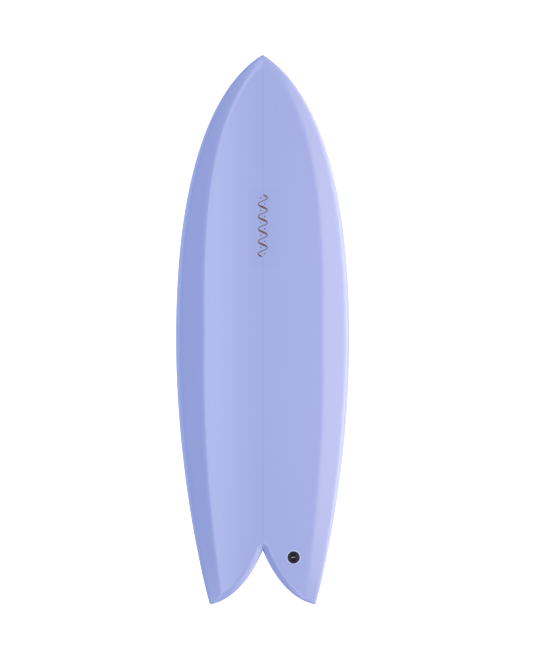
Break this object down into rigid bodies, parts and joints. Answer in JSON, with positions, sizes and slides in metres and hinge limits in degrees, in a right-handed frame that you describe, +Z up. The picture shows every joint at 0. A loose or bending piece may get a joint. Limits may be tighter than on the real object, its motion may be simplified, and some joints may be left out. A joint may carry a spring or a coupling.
{
  "type": "surfboard",
  "caption": "Short, wide fish surfboard with a swallow tail, bevelled rails, a leash cup in the deck and removable keel fins underneath.",
  "frame": {"origin": "on the surface the board rests on, under the middle of its bounding box", "axes": "+Y towards the nose, +X to the side with the leash cup, +Z up; the board rests deck up on its two fin tips and its belly"},
  "size_m": [0.5312, 1.6724, 0.1758],
  "materials": {
    "laminate": "periwinkle resin tint over glass cloth, gloss",
    "foam": "shaped polyurethane foam",
    "timber": "bare basswood",
    "plug_plastic": "moulded navy-black polycarbonate, satin",
    "stainless": "brushed marine stainless",
    "box_plastic": "moulded nylon, sanded flush",
    "fin_composite": "tinted glass fibre, sanded gloss"
  },
  "bodies": {
    "board": {"blank_left": "foam", "blank_right": "foam", "stringer": "timber", "deck_skin": "laminate", "bottom_skin": "laminate", "leash_cup": "plug_plastic", "leash_pin": "stainless", "fin_box_left": "box_plastic", "fin_box_right": "box_plastic"},
    "fin_left": {"fin_left": "fin_composite"},
    "fin_right": {"fin_right": "fin_composite"},
    "fin_screw_left_front": {"fin_screw_left_front": "stainless"},
    "fin_screw_left_rear": {"fin_screw_left_rear": "stainless"},
    "fin_screw_right_front": {"fin_screw_right_front": "stainless"},
    "fin_screw_right_rear": {"fin_screw_right_rear": "stainless"}
  },
  "joints": [
    {"name": "fin_left_slide", "type": "slide", "parent": "board", "child": "fin_left", "axis": [0.0049, -0.1896, -0.9819], "range_m": [0, 0.02]},
    {"name": "fin_right_slide", "type": "slide", "parent": "board", "child": "fin_right", "axis": [-0.0049, -0.1896, -0.9819], "range_m": [0, 0.02]},
    {"name": "fin_screw_left_front_turn", "type": "hinge", "parent": "board", "child": "fin_screw_left_front", "pos_m": [-0.15779, -0.54693, 0.11123], "axis": [0.3463, -0.1925, -0.9182], "continuous": true},
    {"name": "fin_screw_left_rear_turn", "type": "hinge", "parent": "board", "child": "fin_screw_left_rear", "pos_m": [-0.16102, -0.61952, 0.12523], "axis": [0.3463, -0.1925, -0.9182], "continuous": true},
    {"name": "fin_screw_right_front_turn", "type": "hinge", "parent": "board", "child": "fin_screw_right_front", "pos_m": [0.15779, -0.54693, 0.11123], "axis": [-0.3463, -0.1925, -0.9182], "continuous": true},
    {"name": "fin_screw_right_rear_turn", "type": "hinge", "parent": "board", "child": "fin_screw_right_rear", "pos_m": [0.16102, -0.61952, 0.12523], "axis": [-0.3463, -0.1925, -0.9182], "continuous": true}
  ]
}
